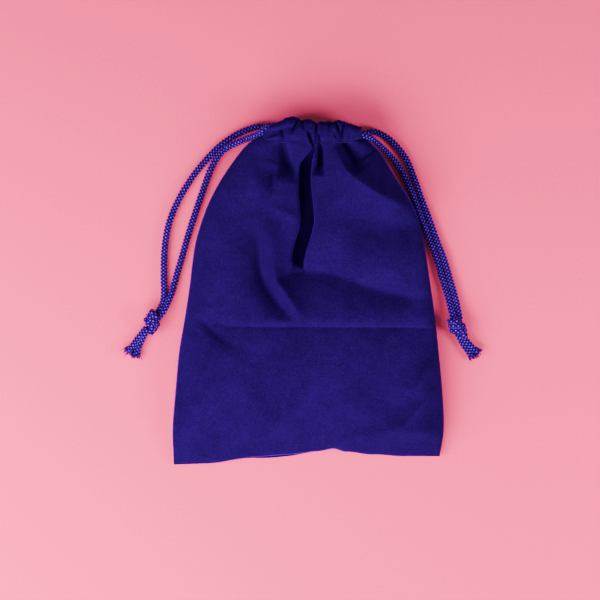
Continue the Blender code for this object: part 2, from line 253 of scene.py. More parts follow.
def painted_light_braid():
    """Satin yarn in royal blue. Painted shade darkens it between the yarns, and a painted highlight, the
    satin's glint, makes it pale where the yarns crown. Fine filaments run along each yarn."""
    material, tree, shader, add, place = new_material(
        "painted_light_braid", roughness=0.4, specular=0.05, specular_tint=(0.3, 0.05, 1.0, 1))
    height = add("ShaderNodeAttribute", attribute_name="height").outputs["Fac"]
    across = add("ShaderNodeAttribute", attribute_name="across").outputs["Fac"]
    patches = add("ShaderNodeTexNoise", {"Vector": place, "Scale": 900.0, "Detail": 2.0}).outputs["Fac"]
    uneven = add("ShaderNodeMath", {0: patches, 1: 0.3}, operation="MULTIPLY").outputs["Value"]
    glint_and_shade_mask = add("ShaderNodeMath", {0: height, 1: uneven}, operation="ADD").outputs["Value"]
    glint_and_shade_mask = add("ShaderNodeMath", {0: glint_and_shade_mask, 1: 0.78}, operation="MULTIPLY").outputs["Value"]
    # Painted light: the ramp runs from painted shade between the yarns, through the yarns' own royal blue, to
    # a painted highlight (the satin's glint) on each crown
    colour = ramp_of(add, glint_and_shade_mask, [
        (0.12, (0.002, 0.0, 0.008)), (0.46, (0.005, 0.0, 0.036)), (0.74, (0.014, 0.0, 0.10)),
        (0.91, (0.17, 0.010, 0.85)),
    ])
    tree.links.new(colour, shader.inputs["Base Color"])
    filaments = add("ShaderNodeMath", {0: across, 1: 22.0}, operation="MULTIPLY").outputs["Value"]
    filaments = add("ShaderNodeMath", {0: filaments}, operation="SINE").outputs["Value"]
    bump = add("ShaderNodeBump", {"Height": filaments, "Strength": 0.35, "Distance": 0.00004})
    tree.links.new(bump.outputs["Normal"], shader.inputs["Normal"])
    return material


braid = painted_light_braid()
RING_STEP = 0.13 * MM
UP = (0, 0, 1)
strands = {}
for name, route in ROUTES.items():
    path = curve_through(route, RING_STEP / MM) * MM
    strand = braided_tube(name.replace("strand", "braid"), path, CORD_D, UP, braid)
    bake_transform(strand)
    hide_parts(name)
    strands[name] = (strand, path)


# ---------------------------------------------------------------- The cords inside the casings
# The rest of each cord: a straight run through the front casing and one through the back casing,
# and at the far end the turn that joins them. They are the same braid as the free strands.
RUN_LEVELS = {"front": 10.3, "back": 2.0}         # how high each casing's cords lie, in mm
RUN_DIP = 1.7                      # how far the left cord's lane bends towards the pouch at its far end
RUN_POINTS, TURN_POINTS = 200, 13
# Each cord: the side it leaves at, its far end's X, the way outwards there, and its lane's Y
RUN_LANES = (("left", 16.6, 1, 54.7), ("right", -13.2, -1, 51.9))
for side, far_x, way, lane_y in RUN_LANES:
    for which, level in RUN_LEVELS.items():
        run_name = f"{side}_cord_{which}_run"
        low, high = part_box(run_name)
        run_ends = [(x, lane_y * MM, level * MM) for x in (low[0], high[0])]
        path = np.linspace(*run_ends, RUN_POINTS)
        if side == "left":
            path[:, 1] -= RUN_DIP * MM * np.clip((path[:, 0] / MM - 11) / 5, 0, 1) ** 2
        run = braided_tube(f"{side}_cord_{which}_run_braid", path, CORD_D, UP, braid)
        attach(run, f"{side}_cord")
        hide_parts(run_name)
    # Half an oval standing upright from one run to the other: cos ** 0.7 outwards, sin upwards
    swing = np.linspace(-math.pi / 2, math.pi / 2, TURN_POINTS)
    turn_y = lane_y - 1.6 if side == "left" else lane_y
    turn_x = far_x + way * (-1.8 + 1.5 * np.cos(swing) ** 0.7)
    oval = np.column_stack([turn_x, np.full(TURN_POINTS, turn_y), 6.15 + 4.15 * np.sin(swing)])
    path = curve_through(oval, RING_STEP / MM) * MM
    turn = braided_tube(f"{side}_cord_turn_braid", path, CORD_D, (0, 1, 0), braid)
    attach(turn, "pouch")
    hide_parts(f"{side}_cord_turn")


# ---------------------------------------------------------------- The knots
# Each cord's two strands are tied together in one overhand knot and pulled tight: its wraps lie
# slanting round the strands. It lies on the table.
KNOTS = {
    "left": {"centre": (-52.0, -10.1, 3.0), "angle": math.radians(236)},
    "right": {"centre": (49.6, -12.0, 3.0), "angle": math.radians(284)},
}
WRAP_D = 2.1 * MM                  # the cord is pulled a little thinner there
WRAP_R = 1.95 * MM
WRAP_TURNS = 3.1
WRAP_PITCH = 1.55 * MM
WRAP_SLANT = 0.9 * MM
WRAP_START = 0.6                   # the angle at which the first turn begins
WRAP_POINTS = 400


def knot_axes(knot):
    """The knot's centre, and unit vectors along it towards the tails, across it, and up."""
    ahead = np.array([math.cos(knot["angle"]), math.sin(knot["angle"]), 0])
    across = np.array([-ahead[1], ahead[0], 0])
    return np.array(knot["centre"]) * MM, ahead, across, np.array([0, 0, 1.0])


def knot_wraps(knot):
    """A helix along the knot whose turns lean over: the place is pitch * turns + slant * cos(angle)
    along, and radius * (cos, sin) of the angle across and up. The radius is drawn in to about a third
    over the first and the last 0.3 of a turn."""
    centre, ahead, across, up = knot_axes(knot)
    turns = np.linspace(0, WRAP_TURNS, WRAP_POINTS)[:, None]
    angle = 2 * math.pi * turns + WRAP_START
    left_over = np.clip(np.minimum(turns, WRAP_TURNS - turns) / 0.3, 0, 1)
    radius = WRAP_R * (0.35 + 0.65 * left_over * (2 - left_over))
    forward = WRAP_PITCH * (turns - WRAP_TURNS / 2) + WRAP_SLANT * np.cos(angle)
    return centre + forward * ahead + radius * (np.cos(angle) * across + np.sin(angle) * up)


for side, knot in KNOTS.items():
    axis = knot_axes(knot)[1]
    wraps = curve_through(knot_wraps(knot), RING_STEP)
    wrapped = braided_tube(f"{side}_cord_knot_wraps", wraps, WRAP_D, axis, braid)
    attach(wrapped, f"{side}_cord_ends")
    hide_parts(f"{side}_cord_knot")


# ---------------------------------------------------------------- The frayed tails
# Below the knot each strand is cut off short. The braid has opened there: it widens, and its yarns
# end in loose filaments of unequal length.
TAILS = {
    "left_cord_upper_tail": [
        (-53.8, -11.8, 2.3), (-56.6, -15.4, 1.9), (-58.6, -18.2, 1.6), (-60.0, -20.2, 1.5),
    ],
    "left_cord_lower_tail": [
        (-53.6, -12.6, 2.2), (-55.5, -16.2, 1.9), (-56.8, -19.2, 1.6), (-57.5, -21.4, 1.5),
    ],
    "right_cord_upper_tail": [
        (50.4, -13.4, 2.4), (52.5, -16.2, 2.0), (54.5, -18.6, 1.7), (56.2, -20.4, 1.5),
    ],
    "right_cord_lower_tail": [
        (49.6, -13.8, 2.2), (51.3, -17.1, 1.9), (53.2, -19.7, 1.7), (54.9, -21.7, 1.5),
    ],
}
FILAMENTS = 70
FRAY_REACH = (1.3 * MM, 2.5 * MM)
FRAY_THICKNESS = 0.13 * MM
FRAY_ROOT = 1.6 * MM               # how far inside the cord's cut end the filaments start
FRAY_LOWEST = 0.12 * MM


def fray(name, path, material, seed):
    """Loose yarn ends: each is a three-sided thread from a place on the cord's cut end, which leans
    outwards in proportion to how far out it starts, bends at random and stays above the table."""
    dice = np.random.default_rng(seed)
    points, sides = 6, 3
    angle = dice.uniform(0, 2 * math.pi, FILAMENTS)
    share = np.sqrt(dice.uniform(0.1, 1, FILAMENTS))
    ahead = (path[-1] - path[-6]) / np.linalg.norm(path[-1] - path[-6])
    across = np.cross(ahead, UP)
    outward = np.cos(angle)[:, None] * across + np.sin(angle)[:, None] * np.array(UP) * 0.7
    root = path[-1] - ahead * FRAY_ROOT + outward * share[:, None] * 1.25 * MM
    lean = ahead + outward * share[:, None] * 0.35 + dice.normal(0, 0.13, (FILAMENTS, 3))
    bend = dice.normal(0, 0.16, (FILAMENTS, 3))
    reach = dice.uniform(*FRAY_REACH, FILAMENTS)
    t = np.linspace(0, 1, points)[None, :, None]
    line = root[:, None] + reach[:, None, None] * (t * lean[:, None] + t**2 * bend[:, None])
    line[..., 2] = np.maximum(line[..., 2], FRAY_LOWEST)
    thickness = FRAY_THICKNESS * (1 - 0.3 * t)
    corner = 2 * math.pi * np.arange(sides) / sides
    ring = np.cos(corner)[:, None] * across + np.sin(corner)[:, None] * np.cross(across, ahead)
    skin = line[:, :, None] + thickness[..., None] * ring[None, None]
    quads = ring_quads(points, sides)
    last = points * sides
    ends = np.array([[2, 1, 0], [last - 3, last - 2, last - 1]])
    shifts = (np.arange(FILAMENTS) * last)[:, None, None]
    walls = (quads[None] + shifts).reshape(-1, 4).tolist()
    caps = (ends[None] + shifts).reshape(-1, 3).tolist()
    height = np.broadcast_to(0.75, skin.shape[:3])
    return mesh_object(name, skin, walls + caps, material, [("height", height), ("across", height * 0)])


tail_pieces = {"left": [], "right": []}
for seed, (name, route) in enumerate(TAILS.items()):
    path = curve_through(route, RING_STEP / MM) * MM
    opened = 0.92 + 0.16 * np.linspace(0, 1, len(path)) ** 2
    tail = braided_tube(name.replace("tail", "tail_braid"), path, CORD_D, UP, braid, swell=opened)
    ends = fray(name.replace("tail", "tail_fray"), path, braid, seed)
    side = name.split("_")[0]
    for piece in (tail, ends):
        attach(piece, f"{side}_cord_ends")
        tail_pieces[side].append(piece)
    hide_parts(name)

# Each free strand's side and place in its pair are read here, and not used further
for name, (strand, path) in strands.items():
    side, which = name.split("_")[0], name.split("_")[2]


# ---------------------------------------------------------------- The front panel
# The front half of the bag: one piece of short-pile velvet, sewn to the back along both sides and
# the bottom, and drawn together at the neck. Its folds run down from the gathers, and a sharp
# crease crosses it where the empty pouch was folded for packing.
CLOTH = 0.7 * MM
# The side edges, from the bottom corner to the casing, in mm
LEFT_EDGE = [
    (-44.8, -57.6), (-45.2, -46), (-44.3, -34), (-43, -20), (-41.3, -10), (-39.6, 1), (-38, 13.8),
    (-36, 21.7), (-33, 29.7), (-28.7, 37.7), (-23.1, 45.7), (-19.6, 49.4), (-16.4, 51.9),
]
RIGHT_EDGE = [
    (43.7, -54.8), (45, -46), (44.6, -34), (43.3, -20), (42.0, -8), (40.3, 4), (38.6, 15), (36.4, 24.2),
    (33.0, 31.7), (29.1, 37.7), (24.1, 45.7), (20.6, 49.4), (18.6, 51.4),
]
# How the bottom edge bows in from the line between its corners, in mm: (share of the width, rise)
BOTTOM_BOW = [
    (-1, 0), (-0.75, 0.0), (-0.38, 1.7), (-0.15, 2.1), (0.08, 2.9), (0.2, 3.6), (0.3, 2.4), (0.5, 1.2),
    (0.75, 0.3), (1, 0),
]
NECK_BOW = -2.6                    # how far the neck's middle lies from the line of its ends, in mm
CREASE_UP = 0.39                   # the packing crease's share of the way up


def between(place, table):
    """Reads a smooth curve through a table of (place, value): eased from each entry to the next."""
    places, values = np.array(table, float).T
    k = np.clip(np.searchsorted(places, place) - 1, 0, len(places) - 2)
    t = np.clip((place - places[k]) / (places[k + 1] - places[k]), 0, 1)
    return values[k] + (values[k + 1] - values[k]) * t * t * (3 - 2 * t)


def cloth_plan(rows, columns):
    """Where each point of a panel lies in plan. Rows run from the bottom edge to the neck between
    matching places on the two side edges, and bow at the bottom and at the neck. Rows crowd at the
    packing crease and the neck, columns towards the middle and the side edges. Returns x and y in mm,
    the share across (-1 to 1) and the share up (0 to 1)."""
    steady = np.linspace(0, 1, 2000)
    crowd = np.cumsum(1 + 3 * np.exp(-((steady - CREASE_UP) / 0.022) ** 2) + 0.6 * (steady > 0.8))
    up = np.interp(np.linspace(crowd[0], crowd[-1], rows), crowd, steady)[:, None]
    even = np.linspace(-1, 1, columns)[None, :]
    across = even - 0.13 * np.sin(math.pi * even) - 0.05 * np.sin(2 * math.pi * even)
    left_x, left_y, right_x, right_y = (
        np.interp(up[:, 0], np.linspace(0, 1, len(edge)), edge[:, k])[:, None]
        for edge in (curve_through(LEFT_EDGE, 0.2), curve_through(RIGHT_EDGE, 0.2)) for k in (0, 1)
    )
    x = left_x + (right_x - left_x) * (across + 1) / 2
    y = left_y + (right_y - left_y) * (across + 1) / 2
    y = y + between(across, BOTTOM_BOW) * (1 - up) ** 5 + NECK_BOW * (1 - np.abs(across) ** 3) * up**12
    return x, y, across, up


def near_line(x, y, line):
    """For each point: the nearest point of a curved line, how far off it is in x and y, the share of
    it that lies to the right of the line's way, and a reader of the line's columns there."""
    step = 0.7
    path = curve_through(line, step, measured=2)
    ahead = np.gradient(path[:, :2], axis=0)
    ahead /= np.linalg.norm(ahead, axis=1)[:, None]
    points = np.stack([x, y], -1).reshape(-1, 2)
    nearest = np.concatenate([
        np.argmin(((chunk[:, None] - path[None, :, :2]) ** 2).sum(-1), axis=1)
        for chunk in np.array_split(points, 40)
    ])
    off = points - path[nearest, :2]
    way = ahead[nearest]
    beside = off[:, 0] * way[:, 1] - off[:, 1] * way[:, 0]
    here = np.clip(nearest + (off * way).sum(1) / step, 0, len(path) - 1)
    to_right = 0.5 + 0.5 * np.tanh(beside / 0.15)
    return off, to_right, lambda k: np.interp(here, np.arange(len(path)), path[:, k])


def fold(x, y, line, sharp):
    """A fold's relief: height * exp(-(distance / width) ** sharp), with the distance from a line of
    (x, y, height, width to the right, width to the left), right and left of the way it runs. A
    sharpness of 1 is a crease, 2 a soft roll, and 4 or more a trench."""
    off, to_right, read = near_line(x, y, line)
    width = np.maximum(read(3) * to_right + read(4) * (1 - to_right), 0.1)
    return (read(2) * np.exp(-(np.hypot(*off.T) / width) ** sharp)).reshape(x.shape)


def lean_over(x, y, line):
    """Draws the cloth beside a trench in over it, so that its walls stand upright: points move
    towards the line by 0.45 * width * s * exp(-((distance - width) / 4) ** 2), where s rises smoothly
    from 0 to 1 across the wall and with the trench's depth."""
    off, to_right, read = near_line(x, y, line)
    width = np.maximum(read(3) * to_right + read(4) * (1 - to_right), 0.1)
    distance = np.maximum(np.hypot(*off.T), 1e-6)
    wall = np.clip((distance / width - 0.65) / 0.5, 0, 1)
    deep = np.clip(-read(2) / 2, 0, 1)
    shift = 0.45 * width * wall**2 * (3 - 2 * wall) * deep * np.exp(-((distance - width) / 4) ** 2)
    moved = np.stack([x, y], -1).reshape(-1, 2) - off * (shift / distance)[:, None]
    return moved[:, 0].reshape(x.shape), moved[:, 1].reshape(y.shape)


# Each fold: how sharp it is, and its line of (x, y, height, width to the right, width to the left), in
# mm. The heights are times FOLD_DEPTH, and a negative one is a hollow.
FOLDS = [
    # the deep fold under the gathers
    (7.0, [(-0.6, 53.5, 0, 0.5, 0.5), (0.3, 51.5, -1.4, 0.7, 0.5), (1.1, 49.5, -1.8, 0.7, 0.5),
           (1.3, 47.5, -2.6, 0.9, 0.7), (0.7, 45.5, -3.8, 1.6, 0.9), (-0.1, 43.5, -4.6, 2.7, 1.3),
           (-0.6, 41.5, -5.0, 3.6, 1.9), (-0.7, 38, -5.0, 3.8, 2.3), (-0.6, 33, -5.0, 4.0, 2.6),
           (-0.1, 28, -5.0, 4.2, 2.7), (0.2, 24, -5.0, 4.4, 2.7), (-0.3, 20.5, -4.9, 4.3, 2.6),
           (-1.4, 17, -4.6, 4.3, 2.7), (-2.5, 13.5, -4.0, 4.0, 2.7), (-3.2, 10, -2.8, 3.4, 2.6),
           (-3.4, 7.4, -0.9, 2.8, 2.4), (-3.2, 5.4, 0, 2.4, 2.2)]),
    # the short fold to the right of it
    (4.0, [(3.5, 51.5, -0.9, 0.4, 0.4), (3.7, 49.2, -1.6, 0.7, 0.7), (3.9, 47.8, -2.2, 1.2, 1.3),
           (4.1, 45.5, -2.6, 1.4, 1.5), (4.1, 43, -2.2, 1.5, 1.6), (4.0, 40.8, -1.2, 1.7, 1.7),
           (4.0, 38.2, 0, 1.8, 1.8)]),
    # the tongue's left side, and the slack cloth beside it
    (2.2, [(-8.6, 52.4, -0.8, 0.6, 0.5), (-7.7, 50, -1.6, 1.8, 0.5), (-7.5, 48.4, -2.7, 3.0, 0.8),
           (-7.3, 46, -3.2, 4.0, 0.9), (-7.0, 43, -2.8, 4.6, 1.0), (-6.7, 40.6, -1.8, 4.6, 1.1),
           (-6.3, 38.2, -0.7, 4.0, 1.1), (-6.2, 35.8, 0, 3, 1)]),
    (1.5, [(-11.0, 42, 0, 3.0, 1.0), (-11.5, 39.5, -1.0, 3.2, 1.0), (-12, 37, -1.2, 3.0, 1.0),
           (-12.3, 32, 0, 2, 1)]),
    (2.0, [(-21, 47, 0, 4, 3), (-19.5, 42, 0.7, 4, 4), (-18.6, 37, 0.7, 4, 4), (-18, 31, 0, 4, 4)]),
    (1.4, [(-13, 28.4, 0, 1.2, 2), (-9.5, 26.6, 0.5, 1.1, 2), (-6.5, 24.6, 0.6, 1.1, 2),
           (-4.6, 22.6, 0, 1, 2)]),
    # the fold at the right of the gathers, and the long ridge below the shaded shoulder
    (1.8, [(11.8, 55, -1.4, 0.6, 0.6), (11.2, 52.2, -2.2, 0.7, 0.6), (11.0, 49.8, -2.4, 0.9, 0.9),
           (12.4, 47, -2.6, 1.8, 2.4), (13.9, 44.6, -2.2, 2.4, 3.4), (15.4, 42, -1.2, 2.6, 4),
           (17.5, 39.4, 0, 2.6, 4)]),
    (1.2, [(9.6, 48, 0, 3, 6), (10.8, 44.5, 1.6, 3.5, 6), (12.4, 40.4, 2.8, 4, 6.5),
           (14.9, 37.6, 3.4, 4.5, 7), (19.6, 34.2, 3.6, 5, 7), (24.6, 31.4, 3.3, 5, 6),
           (30.5, 28.8, 2.6, 5, 5), (36, 27, 0.8, 5, 4)]),
    # soft rolls on the right half
    (1.6, [(9, 27.5, 0, 6, 4), (18, 24, -1.2, 6.5, 4), (27, 22.4, -1.7, 7, 4), (36, 21.8, -1.2, 7, 4)]),
    (1.25, [(-11.5, 3.4, 0, 3, 1.0), (-9.0, 4.8, -1.2, 6, 1.4), (-6, 5.8, -1.7, 7, 2),
            (-1, 6.4, -2.3, 7, 3), (6, 6.3, -2.6, 7, 5), (12, 4.4, -2.5, 7, 6), (20, 1.6, -2.6, 6.5, 6),
            (29, -1.0, -2.1, 5.5, 6), (38, -2.6, -0.4, 5, 6)]),
    # the bent ridge on the left half, with the hollow beside it
    (1.6, [(-17.6, 24, 0, 4, 2.4), (-17.0, 19, -0.9, 4, 2.4), (-16.2, 12, -1.7, 4, 2.4),
           (-15.1, 5, -2.3, 4, 2.4), (-12.3, -0.6, -2.5, 4.2, 2.4), (-8.2, -5.8, -2.0, 4, 2.2),
           (-5.0, -9.6, -0.4, 3, 2)]),
    (1.6, [(-13.6, 24, 0, 1.8, 3), (-13.1, 19, 0.7, 1.9, 3), (-12.3, 12, 1.1, 2, 3),
           (-11.2, 5, 1.5, 2.1, 2.6), (-8.4, 0.6, 1.7, 2.2, 2.2), (-4.8, -4.6, 1.3, 2.2, 2.2),
           (-1.8, -9, 0.2, 2, 2.2)]),
    # the packing crease right across
    (1.0, [(-33, -8.6, 0, 6, 0.9), (-30, -10.2, -0.6, 6, 0.8), (-26.5, -11.2, -1.4, 7, 0.8),
           (-16, -11.6, -1.5, 8, 0.8), (0, -11.7, -1.6, 8, 0.85), (20, -11.8, -1.6, 8, 0.85),
           (36, -11.9, -1.5, 7, 0.8), (42, -12.3, 0, 6, 0.8)]),
    (1.6, [(-36.5, -7, 0, 2, 3), (-34.2, -10.5, -0.7, 1.6, 5), (-30, -14.6, -0.8, 2, 5),
           (-22, -20, 0, 2, 4)]),
    # the lower right corner
    (1.3, [(43.8, -15.5, 0, 3, 5), (41.6, -21.6, 1.7, 3, 5), (38.6, -27.4, 2.2, 3, 6), (36, -32, 1.2, 3, 5),
           (34.4, -35, 0, 3, 6)]),
    (1.3, [(43, -31.0, 0, 3.5, 5), (40.4, -34.4, 1.8, 4, 5), (35.8, -39.6, 2.4, 4, 6.5),
           (31.4, -44.6, 1.7, 4, 6), (28.6, -48, 0, 4, 4)]),
    (1.4, [(2, -52.4, 0, 4, 3), (12, -50, 0.9, 4.5, 3), (22, -47.8, 1.3, 5, 3), (31, -46.6, 1.7, 6, 3),
           (42, -46.8, 1.4, 6, 3)]),
]
FOLD_DEPTH = 1.75
EDGE_HEIGHT = [(0, 2.0), (0.12, 3.0), (0.45, 4.0), (0.7, 4.3), (0.88, 5.0), (1, 6.7)]   # (share up, mm)
MIDDLE_RISE = 5.8                  # how much higher the middle stands than the side edges, in mm
ARCH_POWER = 3.0
LOWEST_FRONT = 1.6


def slow_waves(x, y, seed, size, count=24):
    """Gentle unevenness: a sum of sine waves of random way and phase, with wavelengths about `size`."""
    dice = np.random.default_rng(seed)
    way = dice.uniform(0, 2 * math.pi, count)
    wave = 2 * math.pi / (size * dice.uniform(0.6, 1.6, count))
    phase = dice.uniform(0, 2 * math.pi, count)
    turns = (x[..., None] * np.cos(way) + y[..., None] * np.sin(way)) * wave + phase
    return np.sin(turns).sum(-1) / math.sqrt(count)


def folds_at(x, y):
    """All the folds' relief together, in mm."""
    return FOLD_DEPTH * sum(fold(x, y, line, sharp) for sharp, line in FOLDS)


def front_height(x, y, across, up):
    """The front's outer height in mm: edge height + rise * (1 - |across| ** p) ** (1 / p), an arch
    from side to side, times a quarter arch of a like kind up from the bottom edge, plus the folds and
    slow waves where the arch leaves room for them. A soft maximum, floor + log(1 + exp(k * (height -
    floor))) / k, keeps it above the back."""
    arch = (1 - np.abs(across) ** ARCH_POWER) ** (1 / ARCH_POWER)
    rise = MIDDLE_RISE * (1 - (1 - np.clip(up / 0.3, 0, 1)) ** 2.4) ** (1 / 1.6)
    base = between(up, EDGE_HEIGHT) + rise * arch
    room = np.clip(arch * 1.35, 0, 1) * np.clip(up * 14, 0, 1)
    relief = folds_at(x, y) + 0.12 * slow_waves(x, y, 3, 16) + 0.03 * slow_waves(x, y, 4, 5)
    softness = 2.5
    above = base + relief * room - LOWEST_FRONT
    return LOWEST_FRONT + np.logaddexp(0, above * softness) / softness


def grid_quads(rows, columns):
    """Quads of an open grid, facing +Z when rows run up Y and columns along X."""
    corner = np.arange(rows * columns).reshape(rows, columns)
    quads = np.stack([corner[:-1, :-1], corner[:-1, 1:], corner[1:, 1:], corner[1:, :-1]], -1)
    return quads.reshape(-1, 4)


def give_wall(piece, thickness, offset):
    """Solidify: the cloth's own thickness, as part of the mesh."""
    wall = piece.modifiers.new("wall", "SOLIDIFY")
    wall.thickness = thickness
    wall.offset = offset


def velvet(name, deep, face, light):
    """Short-pile velvet: dark looking into the pile and paler at a grazing angle, with the nap
    brushed unevenly in patches, a fine grain of pile tips and faint streaks."""
    material, tree, shader, add, place = new_material(
        name, roughness=0.95, specular=0.0, sheen=0.36, sheen_roughness=0.3, sheen_tint=(0.15, 0.0, 1.0, 1))
    patch = add("ShaderNodeTexNoise", {"Vector": place, "Scale": 90.0, "Detail": 6.0, "Roughness": 0.7})
    grain = add("ShaderNodeTexNoise", {"Vector": place, "Scale": 2300.0, "Detail": 3.0, "Roughness": 0.7})
    stretch = add("ShaderNodeMapping", {"Vector": place, "Rotation": (0, 0, 0.5), "Scale": (260, 1300, 500)})
    streak = add("ShaderNodeTexNoise", {"Vector": stretch.outputs["Vector"], "Scale": 1.0, "Detail": 3.0})
    mixed, fine, brushed = (
        add("ShaderNodeMath", {0: noise.outputs["Fac"], 1: share}, operation="MULTIPLY").outputs["Value"]
        for noise, share in ((patch, 0.4), (grain, 0.9), (streak, 0.1))
    )
    total = add("ShaderNodeMath", {0: mixed, 1: fine}, operation="ADD").outputs["Value"]
    total = add("ShaderNodeMath", {0: total, 1: brushed}, operation="ADD").outputs["Value"]
    colour = ramp_of(add, total, [(0.54, deep), (0.7, face), (0.86, light)])
    tree.links.new(colour, shader.inputs["Base Color"])
    pile = add("ShaderNodeBump", {"Height": grain.outputs["Fac"], "Strength": 0.5, "Distance": 0.00012})
    nap = add("ShaderNodeBump", {"Height": patch.outputs["Fac"], "Strength": 0.2, "Distance": 0.0005,
                                 "Normal": pile.outputs["Normal"]})
    tree.links.new(nap.outputs["Normal"], shader.inputs["Normal"])
    return material


blue_velvet = velvet("blue_velvet", (0.0040, 0.0, 0.0245), (0.0071, 0.0, 0.043), (0.0114, 0.0, 0.066))
FRONT_GRID = (226, 220)
CORNER_DENT = 2.2
x, y, across, up = cloth_plan(*FRONT_GRID)
z = front_height(x, y, across, up)
# Where the right cord leaves the casing it presses the corner of the cloth down
z -= CORNER_DENT * np.exp(-((x - 17) / 1.6) ** 2 - ((y - 52) / 1.7) ** 2)
# The two trenches under the gathers have upright walls
for sharp, line in FOLDS[:2]:
    x, y = lean_over(x, y, line)
skin = np.stack([x, y, z], -1) * MM
front = mesh_object("front_velvet", skin, grid_quads(*FRONT_GRID).tolist(), blue_velvet)
give_wall(front, CLOTH, -1)
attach(front, "pouch")
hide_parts("front_panel")


# ---------------------------------------------------------------- The back panel
# The back half of the bag, the same velvet. It lies flat on the table, with its side edges turned
# up to the seams and its neck gathered.
def back_height(x, y, across, up):
    """The back's outer height in mm: zero in the middle, rising with the fourth power of the place
    across to just under the front's edge, with shallow folds in the neck that fade down the pouch."""
    lift = between(up, EDGE_HEIGHT) - 1.1
    gathers = np.sin(x * 1.15 + 0.6) * 0.5 + np.sin(x * 2.1 + 2.0) * 0.25 + 0.75
    neck = np.clip((up - 0.72) / 0.28, 0, 1) ** 1.5
    return 0.05 + lift * np.abs(across) ** 6 + 0.9 * gathers * neck * (1 - np.abs(across) ** 4)


BACK_GRID = (160, 140)
x, y, across, up = cloth_plan(*BACK_GRID)
# The back's bottom edge shows a little below the front's, left of the middle
y = y - 0.7 * (1 - up) ** 30 * np.exp(-((x + 11) / 9) ** 2)
z = back_height(x, y, across, up)
skin = np.stack([x, y, z], -1) * MM
back = mesh_object("back_velvet", skin, grid_quads(*BACK_GRID).tolist(), blue_velvet)
give_wall(back, CLOTH, 1)
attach(back, "pouch")
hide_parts("back_panel")


# ---------------------------------------------------------------- The casings
# The hem of each panel, turned over and stitched down into a tunnel for the cords. Three lengths
# of hem are drawn into one, so the tunnel is crushed into upright pleats of unequal width.
CASING_ENDS = (-12.7, 17.5)
# The top edge and the stitched edge in Y, and how far the outer face swells beyond HALF_TUNNEL, by X
CASING_TOP = [
    (-12.9, 55.0), (-11.5, 55.6), (-9.5, 56.4), (-7.0, 57.5), (-5.0, 57.9), (-3.4, 57.3), (-2.3, 56.5),
    (-0.9, 56.9), (0.5, 57.0), (1.9, 56.2), (2.7, 55.6), (3.8, 56.2), (5.2, 56.1), (6.6, 56.4), (8, 56.0),
    (8.8, 56.3), (9.9, 56.7), (11.6, 56.2), (13.5, 55.6), (15.4, 55.0), (16.9, 54.4),
]
CASING_LOW = [
    (-12.9, 51.6), (-11.4, 50.0), (-8, 49.2), (0, 48.8), (9, 48.9), (13, 49.3), (15.2, 49.9), (16.9, 50.4),
]
CASING_FULLNESS = [(-12.9, 0.6), (-10, 1.5), (-6, 2.0), (10, 1.9), (13, 1.4), (17.2, 0.2)]
HALF_TUNNEL = 2.0
# Each hem: its middle's height, the lowest it may reach, and how much of the folds' relief it takes
HEMS = {"front": (10.3, -100, 1.0), "back": (2.05, 0.04, 0.4)}
# The pleats that cross the hem, written as the folds are
PLEAT_DEPTH = 1.4
PLEATS = [
    (1.8, [(-15, 51.8, -3.4, 0.8, 0.8), (-11.1, 52.3, -3.2, 0.7, 0.7), (-8.6, 53.2, -2.2, 0.6, 0.6),
           (-6.7, 53.9, -0.8, 0.4, 0.5), (-5.2, 54.4, 0, 0.4, 0.4)]),
    (1.8, [(-3.2, 57.6, -1.2, 0.4, 0.5), (-4.1, 55.2, -1.8, 0.4, 0.6), (-5.7, 53.0, -1.3, 0.4, 0.6),
           (-6.6, 51.6, 0, 0.4, 0.4)]),
    (1.8, [(-2.2, 57.5, -1.2, 0.4, 0.4), (-1.8, 55.5, -0.6, 0.5, 0.5), (-1.6, 53.5, 0, 0.5, 0.5)]),
    (1.8, [(2.7, 57, -2.2, 0.4, 0.4), (2.6, 53, -2.2, 0.35, 0.4), (2.3, 48.6, -1.6, 0.35, 0.35)]),
    (1.8, [(6.9, 57, -0.6, 0.4, 0.4), (6.9, 54.6, -0.7, 0.4, 0.4), (6.7, 52.5, 0, 0.4, 0.4)]),
    (1.8, [(8.2, 57.5, -1.6, 0.4, 0.5), (9.1, 55.4, -2.0, 0.5, 0.5), (9.9, 53.2, -1.6, 0.5, 0.5),
           (10.4, 51.6, -0.8, 0.4, 0.4)]),
    (1.8, [(8.2, 53.2, 0, 0.4, 0.4), (8.7, 51.8, -1.0, 0.4, 0.4), (9.2, 50.4, -0.6, 0.4, 0.4),
           (9.5, 49, 0, 0.4, 0.4)]),
    (1.8, [(13.8, 53.6, 0, 0.5, 0.5), (13.4, 51.4, -0.8, 0.5, 0.6), (12.8, 49.2, -0.6, 0.5, 0.5)]),
]


def hem_relief(x, y):
    """The folds and the pleats together where they cross the hem, in mm."""
    return folds_at(x, y) + PLEAT_DEPTH * sum(fold(x, y, line, sharp) for sharp, line in PLEATS)


